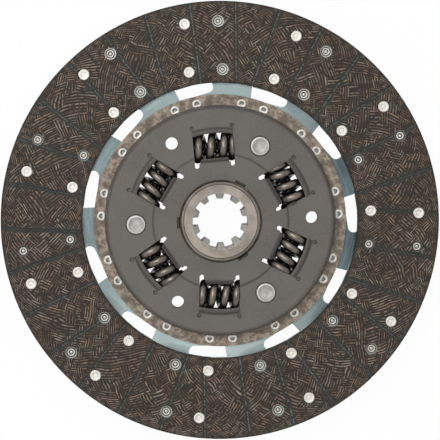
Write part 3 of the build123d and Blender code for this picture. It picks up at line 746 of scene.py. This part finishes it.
def ground_weave(add, place, height, tone):
    """Bared yarn over dark resin, from the height and the tone of the top strand."""
    # Grinding bares the crown of each strand, over patches of about 9 mm and in dashes
    patches = add("MapRange", add("TexNoise", place, 1 / (9 * MM)), 0.3, 0.6, **SMOOTH)
    dashes = add("MapRange", add("TexNoise", place, 1 / (3.2 * MM)), 0.38, 0.54, **SMOOTH)
    bared = add("MULTIPLY", add("MULTIPLY_ADD", patches, 0.7, 0.3), dashes)
    crowns = add("MapRange", height, BARED_FROM, 1.0, **SMOOTH)
    shown = add("MULTIPLY", crowns, bared)
    shown = add("MULTIPLY", shown, add("MULTIPLY_ADD", tone, 0.85, 0.3))
    hue = add("MapRange", add("TexNoise", place, 1 / (12 * MM)), 0.4, 0.6, **SMOOTH)
    yarn = add("Mix", hue, "#A68973", "#B0A392", **COLOURS)
    resin = add("Mix", add("TexNoise", place, 1 / (14 * MM)), "#28211D", "#453C35", **COLOURS)
    between = add("MapRange", height, 0.0, 0.5, **SMOOTH)
    low = add("Mix", between, "#1F1916", resin, **COLOURS)
    return add("Mix", shown, low, yarn, **COLOURS)


print("yarn is bared above", BARED_FROM, "of a strand's height")

# %% [markdown]
# Dust lies over the weave in dark bands beside the grooves. A pale thread down their middle and a
# pale, dusty edge round the drilled holes are painted highlights, strongest towards the top and the
# bottom. A little bump from the strands lets the light catch them, except where dust fills the mat.

# %% Finish of the facings
def wound_lining(name, side):
    """The lining of one facing. side is 1 for the front one and -1 for the back one."""
    material, add, place = new_finish(name)
    radius, angle = polar(add, place)
    height, tone = wound_strands(add, place, radius, angle)
    face = ground_weave(add, place, height, tone)
    distance = groove_distance(add, radius, angle)
    ragged = add("MULTIPLY_ADD", add("TexNoise", place, 1 / (4 * MM)), 4 * MM, -2 * MM)
    band = add("ADD", distance, ragged)
    beside = add("MapRange", band, 1.2 * MM, 3.2 * MM, 1.0, 0.0, **SMOOTH)
    dust_and_shade = add("Mix", add("TexNoise", place, 1 / (1.5 * MM)), "#232523", "#3C3F3B", **COLOURS)
    face = add("Mix", add("MULTIPLY", beside, 0.85), face, dust_and_shade, **COLOURS)
    # The thread is a painted highlight, strongest in the grooves towards the top and the bottom
    thread = add("MapRange", distance, 0.3 * MM, 0.9 * MM, 1.0, 0.0, **SMOOTH)
    dots = add("MapRange", add("TexNoise", place, 1 / (1.8 * MM)), 0.4, 0.6, **SMOOTH)
    upright = add("ABSOLUTE", add("SINE", angle))
    lit_towards_top_and_bottom = add("MULTIPLY_ADD", upright, 0.8, 0.1)
    thread = add("MULTIPLY", add("MULTIPLY", thread, dots), lit_towards_top_and_bottom)
    face = add("Mix", thread, face, "#7C7F79", **COLOURS)
    # The drill leaves a paler, dusty edge round the holes over the other facing's rivets, and it is
    # painted as a highlight in the same places as the thread
    drilled = hole_distance(add, radius, angle, side)
    mouth = add("MapRange", drilled, 4.7 * MM, 5.0 * MM, 1.0, 0.0, **SMOOTH)
    dust_and_painted_light = add("MapRange", upright, 0.2, 1.0, 0.0, 0.62, **SMOOTH)
    face = add("Mix", add("MULTIPLY", mouth, dust_and_painted_light), face, "#B0B1AB", **COLOURS)
    # Both edges are darker
    inside = add("MapRange", radius, FACING_INNER, 112.5 * MM, 0.7, 0.0, **SMOOTH)
    rim = add("MapRange", radius, 172.8 * MM, 174.6 * MM, 0.0, 0.7, **SMOOTH)
    face = add("Mix", add("ADD", inside, rim), face, "#26231F", **COLOURS)

    relief = add("MULTIPLY", height, add("SUBTRACT", 1.0, beside))
    bump = add("Bump", inputs={"Strength": 0.6, "Distance": 0.25 * MM, "Height": relief})
    look = {"Base Color": face, "Roughness": 0.62, "Specular IOR Level": 0.25, "Normal": bump}
    add("OutputMaterial", add("BsdfPrincipled", inputs=look))
    return material


FRONT_LINING = wound_lining("wound_yarn_lining_front", 1)
BACK_LINING = wound_lining("wound_yarn_lining_back", -1)

# %% [markdown]
# The cover's finish paints shade along the bends where the lips of the windows turn up. An outer lip
# bends on an arc about the disc's axis and an inner one along a straight line, so the distance to
# the nearest crease is measured both ways.

# %% The distance to the nearest crease
# How far out each kind of crease lies, and half its length
OUTER_CREASE = (73.8 * MM, 15.5 * MM)
INNER_CREASE = (47.8 * MM, 11.0 * MM)


def crease_distance(add, radius, angle):
    """Metres to the nearest crease where a window's lip bends up, an arc or a straight line."""
    from_pin = from_nearest_spoke(add, angle, len(PIN_ANGLES), PIN_ANGLES[0])
    from_pin = add("ABSOLUTE", from_pin)
    aside = add("SUBTRACT", from_pin, math.radians(WINDOW_FROM_PIN))
    out = add("MULTIPLY", radius, add("COSINE", aside))
    across = add("ABSOLUTE", add("MULTIPLY", radius, add("SINE", aside)))
    creases = []
    for reach, (crease, half) in ((radius, OUTER_CREASE), (out, INNER_CREASE)):
        off = add("ABSOLUTE", add("SUBTRACT", reach, crease))
        creases.append(add("MAXIMUM", off, add("SUBTRACT", across, half)))
    return add("MINIMUM", *creases)


print("creases:", 2 * len(SPRING_ANGLES))

# %% [markdown]
# The cover is pressed from steel sheet and phosphated: a fine crystal skin, dark grey and even,
# that takes light softly. Fingerprints and oil leave it a shade warmer here and there, and its
# pressed edges are rounded, which a Bevel node shows without cutting the solid.

# %% Finish of the cover
COVER_BORE = 32.0 * MM
PIN_SHADE_RING = 7.4 * MM
CORNER_CIRCLE = 76.9 * MM
CORNER_HOLE = 0.9 * MM
CORNERS = (-45.1, -21.1, 21.1, 45.1)
RAISED_STEP = 53.6 * MM
PAINTED_SHADE = "#35312E"


def phosphated_steel():
    """Even dark grey, with painted shade in a line round every opening and in every crease."""
    material, add, place = new_finish("phosphated_pressed_steel")
    oil = add("MapRange", add("TexNoise", place, 1 / (35 * MM), 3.0), 0.35, 0.65, **SMOOTH)
    # The crystals are far too fine to show, so their grain is drawn at 0.9 mm, about a pixel
    grain = add("TexNoise", place, 1 / (0.9 * MM))
    face = add("Mix", oil, "#65605B", "#6E6964", **COLOURS)
    face = add("Mix", add("MapRange", grain, 0.45, 0.75, **SMOOTH), face, "#746F6A", **COLOURS)
    # Painted shade lies in a dark line round the bore's gap, the pins and the holes at the windows'
    # corners
    radius, angle = polar(add, place)
    nearest = add("SUBTRACT", radius, COVER_BORE)
    spots = [(0.0, PIN_CIRCLE * MM, PIN_SHADE_RING)]
    spots += [(turn, CORNER_CIRCLE, CORNER_HOLE) for turn in CORNERS]
    for turn, circle, size in spots:
        spot = spot_distance(add, radius, angle, len(PIN_ANGLES), PIN_ANGLES[0] + turn, circle)
        nearest = add("MINIMUM", nearest, add("SUBTRACT", spot, size))
    clear = add("MapRange", nearest, 0.5 * MM, 1.3 * MM, **SMOOTH)
    face = add("Mix", clear, PAINTED_SHADE, face, **COLOURS)
    # Less painted shade lies in the creases of the windows' lips, and least at the step of the raised
    # ring
    crease = crease_distance(add, radius, angle)
    creased = add("MapRange", crease, 0.5 * MM, 1.6 * MM, 0.85, 0.0, **SMOOTH)
    face = add("Mix", creased, face, PAINTED_SHADE, **COLOURS)
    off_step = add("ABSOLUTE", add("SUBTRACT", radius, RAISED_STEP))
    stepped = add("MapRange", off_step, 0.2 * MM, 1.8 * MM, 0.42, 0.0, **SMOOTH)
    face = add("Mix", stepped, face, PAINTED_SHADE, **COLOURS)
    rounded = add("Bevel", 0.35 * MM, samples=6)
    skin = {"Strength": 0.12, "Distance": 0.03 * MM, "Height": grain, "Normal": rounded}
    bump = add("Bump", inputs=skin)
    look = {"Base Color": face, "Roughness": 0.55, "Specular IOR Level": 0.35, "Normal": bump}
    add("OutputMaterial", add("BsdfPrincipled", inputs=look))
    return material


COVER_FINISH = phosphated_steel()

# %% [markdown]
# The drive plate behind it was hardened in a furnace and left as it came out, under oil. Its scale
# is patchy: tan where it is thin, brown to nearly black where it is thick.

# %% Finish of the drive plate
def furnace_scaled_steel():
    """Patches of tan and brown scale over steel."""
    material, add, place = new_finish("furnace_scaled_steel")
    patches = add("TexNoise", place, 1 / (6 * MM), 6.0)
    specks = add("TexNoise", place, 1 / (2.2 * MM), 4.0)
    thin = add("MapRange", patches, 0.36, 0.62, **SMOOTH)
    face = add("Mix", thin, "#5F564C", "#9C8E7F", **COLOURS)
    face = add("Mix", add("MapRange", specks, 0.48, 0.66, **SMOOTH), face, "#6E6052", **COLOURS)
    bump = add("Bump", inputs={"Strength": 0.2, "Distance": 0.05 * MM, "Height": specks})
    look = {"Base Color": face, "Metallic": 0.3, "Roughness": 0.55, "Normal": bump}
    add("OutputMaterial", add("BsdfPrincipled", inputs=look))
    return material


SCALED_FINISH = furnace_scaled_steel()

# %% [markdown]
# The cushion segments are rolled spring steel, blued by tempering in the open air. The oxide film
# is so thin that its colour comes from its thickness, and it drifts in cloudy patches. The shift from
# slate blue to a pale blue-green with the angle around the disc is a painted sheen, standing in for
# light along the way the strip was rolled.

# %% Finish of the segments
def blued_spring_steel():
    """A blue film with a painted sheen, rolling streaks, and dust and painted shade between the
    facings.
    """
    material, add, place = new_finish("blued_spring_steel")
    radius, angle = polar(add, place)
    # Painted sheen: the film is lighter towards the lower left, and again towards the top
    once = add("COSINE", add("SUBTRACT", angle, math.radians(233)))
    from_top = add("SUBTRACT", angle, math.radians(82.5))
    twice = add("COSINE", add("MULTIPLY", from_top, 2.0))
    painted_sheen_by_angle = add("MULTIPLY_ADD", once, 0.2, add("MULTIPLY_ADD", twice, 0.27, 0.4))
    cloudy = add("MULTIPLY_ADD", add("TexNoise", place, 1 / (30 * MM)), 0.5, -0.25)
    film = add("MapRange", add("ADD", painted_sheen_by_angle, cloudy), -0.1, 1.1, **SMOOTH)
    # Rolling leaves fine streaks around the disc, drawn 1.2 mm wide so that they show
    across = add("MULTIPLY", radius, 1 / (1.2 * MM))
    rolled = add("CombineXYZ", across, add("MULTIPLY", angle, 4.0), 0.0)
    streak = add("MapRange", add("TexNoise", rolled, 1.0), 0.4, 0.7, 0.0, 0.25, **SMOOTH)
    face = add("Mix", film, "#364247", "#939F9D", **COLOURS)
    face = add("Mix", streak, face, "#7B8B8E", **COLOURS)
    # Between the facings the film is hidden under lining dust, darkened as painted shade at the
    # bottom of the holes, with a painted highlight near a hole's wall, most towards the top and the
    # bottom
    dust_and_painted_light = add("MapRange", radius, 110.5 * MM, 112.0 * MM, **SMOOTH)
    nearest = add("MINIMUM", *[hole_distance(add, radius, angle, side) for side in (-1, 1)])
    near_wall = add("MapRange", nearest, 3.7 * MM, 4.0 * MM, **SMOOTH)
    upright = add("ABSOLUTE", add("SINE", angle))
    lit_towards_top_and_bottom = add("MapRange", upright, 0.2, 1.0, 0.15, 0.95, **SMOOTH)
    pale = add("MULTIPLY", near_wall, lit_towards_top_and_bottom)
    dust_and_shade = add("Mix", pale, "#2B2C2A", "#A9ACA8", **COLOURS)
    face = add("Mix", dust_and_painted_light, face, dust_and_shade, **COLOURS)
    look = {"Base Color": face, "Metallic": 0.8, "Roughness": 0.42}
    add("OutputMaterial", add("BsdfPrincipled", inputs=look))
    return material


BLUED_FINISH = blued_spring_steel()

# %% [markdown]
# The hub is forged and turned. The tool leaves rings around the axis, so the finish repeats along
# the radius only, and its warm grey comes from a thin film of oil over bright steel.

# %% Finish of the hub
TEETH_REACH = 22.5 * MM
CHAMFER_EDGE = 29.3 * MM


def turned_steel():
    """Oily turned steel, with a painted highlight on the teeth and painted shade at the chamfer."""
    material, add, place = new_finish("forged_and_turned_steel")
    radius, _ = polar(add, place)
    # The tool's rings are finer than a pixel too, and are drawn 0.7 mm apart
    rings = add("TexNoise", add("CombineXYZ", radius, 0.0, 0.0), 1 / (0.7 * MM))
    film = add("MapRange", add("TexNoise", place, 1 / (12 * MM), 3.0), 0.35, 0.65, **SMOOTH)
    face = add("Mix", film, "#897F76", "#A59B90", **COLOURS)
    face = add("Mix", add("MapRange", rings, 0.5, 0.8, **SMOOTH), face, "#AAA095", **COLOURS)
    # The broach left the teeth brighter, and a painted highlight adds to that, while the chamfer's
    # edge holds a line of painted shade
    broached_and_lit = add("MapRange", radius, TEETH_REACH, 22.9 * MM, 1.0, 0.0, **SMOOTH)
    marks = add("TexNoise", place, 1 / (2.5 * MM), 3.0)
    teeth = add("Mix", marks, "#928C85", "#D6D2CC", **COLOURS)
    face = add("Mix", broached_and_lit, face, teeth, **COLOURS)
    off_chamfer = add("ABSOLUTE", add("SUBTRACT", radius, CHAMFER_EDGE))
    painted_shade_line = add("MapRange", off_chamfer, 0.2 * MM, 0.5 * MM, 0.9, 0.0, **SMOOTH)
    face = add("Mix", painted_shade_line, face, "#3A342F", **COLOURS)
    rounded = add("Bevel", 0.3 * MM, samples=6)
    cut = {"Strength": 0.25, "Distance": 0.04 * MM, "Height": rings, "Normal": rounded}
    bump = add("Bump", inputs=cut)
    look = {"Base Color": face, "Metallic": 0.2, "Roughness": 0.5, "Normal": bump}
    add("OutputMaterial", add("BsdfPrincipled", inputs=look))
    return material


HUB_FINISH = turned_steel()

# %% [markdown]
# The friction rings in the damper are moulded of filled nylon, dark and matt, and the cone spring
# is plain tempered strip. Little of them shows: three tabs beside the hub, and thin edges. The finish
# turns black at the gap and at the tabs' outer ends, which is painted shade.

# %% Finishes of the damper's rings
def ring_with_painted_gap_shade(name, first, second, roughness, metallic):
    """Plain where it shows through the cover, and black with painted shade on either side of that."""
    material, add, place = new_finish(name)
    face = add("Mix", add("TexNoise", place, 1 / (3 * MM), 3.0), first, second, **COLOURS)
    radius, _ = polar(add, place)
    by_hub = add("MapRange", radius, 32.9 * MM, 33.5 * MM, 1.0, 0.0, **SMOOTH)
    by_cover = add("MapRange", radius, 34.0 * MM, 34.6 * MM, **SMOOTH)
    painted_shade_line = add("MAXIMUM", by_hub, by_cover)
    # Near black at the gap and past the tabs: painted shade
    look = {
        "Base Color": add("Mix", painted_shade_line, face, "#0F0D0C", **COLOURS),
        "Metallic": metallic,
        "Roughness": roughness,
        "Specular IOR Level": 0.1,
    }
    add("OutputMaterial", add("BsdfPrincipled", inputs=look))
    return material


RING_FINISH = ring_with_painted_gap_shade("moulded_filled_nylon", "#4A4642", "#5B5752", 0.6, 0.0)
CONE_FINISH = ring_with_painted_gap_shade("tempered_strip_steel", "#4C4742", "#6A645E", 0.4, 0.9)

# %% [markdown]
# The CAD nodes keep their meshes and their places. They only get a finish each, in every slot
# they have, and all eleven segments share one.

# %% Dress the CAD nodes
dressed = {
    "hub": HUB_FINISH,
    "cover_plate": COVER_FINISH,
    "drive_plate": SCALED_FINISH,
    "rear_friction_ring": RING_FINISH,
    "front_friction_ring": RING_FINISH,
    "cone_spring": CONE_FINISH,
    "front_facing": FRONT_LINING,
    "back_facing": BACK_LINING,
}
for k in range(SEGMENTS):
    dressed[f"cushion_segment_{k + 1:02d}"] = BLUED_FINISH
for name, finish in dressed.items():
    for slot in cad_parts[name].material_slots:
        slot.material = finish
print("dressed nodes:", len(dressed))

# %% [markdown]
# The part was photographed flat on, against plain white paper. The floor here is white only to
# the camera and in reflections, by Light Path, so no extra light has to fall on the steel. The
# world does the same: white to look at, while it lights everything evenly and weakly.

# %% Floor and background
WHITE = "#FFFFFF"
WORLD_LIGHT = 0.3
PAPER_GLOW = 1.02
GLOW_SHARE = 0.94
FLOOR_HALF = 3.0
# A hair below the hub's end, so that the two flat faces don't flicker in each other
FLOOR_BELOW = 0.1 * MM


def white_to_the_camera(add, lit, strength):
    """The strength for camera, glossy and clear rays, and the lit value for all others."""
    rays = add("LightPath").outputs
    seen = add("MAXIMUM", rays["Is Camera Ray"], rays["Is Glossy Ray"])
    seen = add("MAXIMUM", seen, rays["Is Transmission Ray"])
    return add("Mix", seen, lit, strength)


world = bpy.data.worlds.new("even_studio")
bpy.context.scene.world = world
world.use_nodes = True
world.node_tree.nodes.clear()
add = functools.partial(node, world.node_tree)
add("OutputWorld", add("Background", WHITE, white_to_the_camera(add, WORLD_LIGHT, 1.0)))

# The paper glows, and a little of it is matt and takes the disc's soft shadow
paper, add, _ = new_finish("white_paper")
glow = add("Emission", WHITE, white_to_the_camera(add, 0.0, PAPER_GLOW))
add("OutputMaterial", add("MixShader", GLOW_SHARE, add("BsdfDiffuse", "#E8E8E8"), glow))

shell = bmesh.new()
bmesh.ops.create_grid(shell, x_segments=1, y_segments=1, size=FLOOR_HALF)
mesh = bpy.data.meshes.new("paper_floor")
shell.to_mesh(mesh)
shell.free()
mesh.materials.append(paper)
floor = in_scene("paper_floor", mesh)
floor.location.z = -FLOOR_BELOW
print("floor:", 2 * FLOOR_HALF, "m across")

# %% [markdown]
# A broad lamp to the upper left models the slopes, and a smaller one beside the camera draws a
# soft line along each strand of the springs. Area lamps suit both, because a larger one gives a
# softer edge to every shadow.

# %% The lamps
def round_lamp(name, spot, size, energy):
    """A round area lamp that looks at the middle of the disc."""
    data = bpy.data.lights.new(name, "AREA")
    data.shape = "DISK"
    data.size = size
    data.energy = energy
    lamp = in_scene(name, data)
    lamp.location = spot
    lamp.rotation_euler = (-lamp.location).to_track_quat("-Z", "Y").to_euler()


round_lamp("broad_lamp", (-0.75, 0.75, 2.1), 1.0, 20.0)
round_lamp("small_lamp", (-0.1, 0.1, 2.5), 0.35, 8.0)
print("lamps:", len(bpy.data.lights))

# %% [markdown]
# The camera stood over two metres away, two and a half degrees off the axis towards the upper
# left. At that distance one pixel of the picture is 0.8 mm on the facings, which gives the length
# of the lens.

# %% The camera
PIXELS = 440
PIXEL_ON_FACING = 0.798 * MM
# The disc's centre falls on this spot of the picture, in pixels from its upper left corner
CENTRE_PIXEL = (220.22, 220.53)
EYE_OFF_AXIS = (-0.0563, 0.0816)
EYE_DISTANCE = 2.2
facing_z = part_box("front_facing")[1].z
eye = Vector((*EYE_OFF_AXIS, EYE_DISTANCE + facing_z))
target = Vector((0, 0, facing_z))
look = (target - eye).normalized()
right = look.cross(Vector((0, 1, 0))).normalized()
above = right.cross(look)

lens = bpy.data.cameras.new("studio_camera")
lens.sensor_width = 36.0
lens.sensor_fit = "HORIZONTAL"
lens.lens = lens.sensor_width * (target - eye).length / PIXEL_ON_FACING / PIXELS
lens.shift_x = (PIXELS / 2 - CENTRE_PIXEL[0]) / PIXELS
lens.shift_y = (CENTRE_PIXEL[1] - PIXELS / 2) / PIXELS
camera = in_scene("studio_camera", lens)
camera.matrix_world = Matrix.Translation(eye) @ Matrix((right, above, -look)).transposed().to_4x4()
bpy.context.scene.camera = camera
bpy.context.scene.view_settings.view_transform = "Standard"
print("lens:", round(lens.lens, 1), "mm")
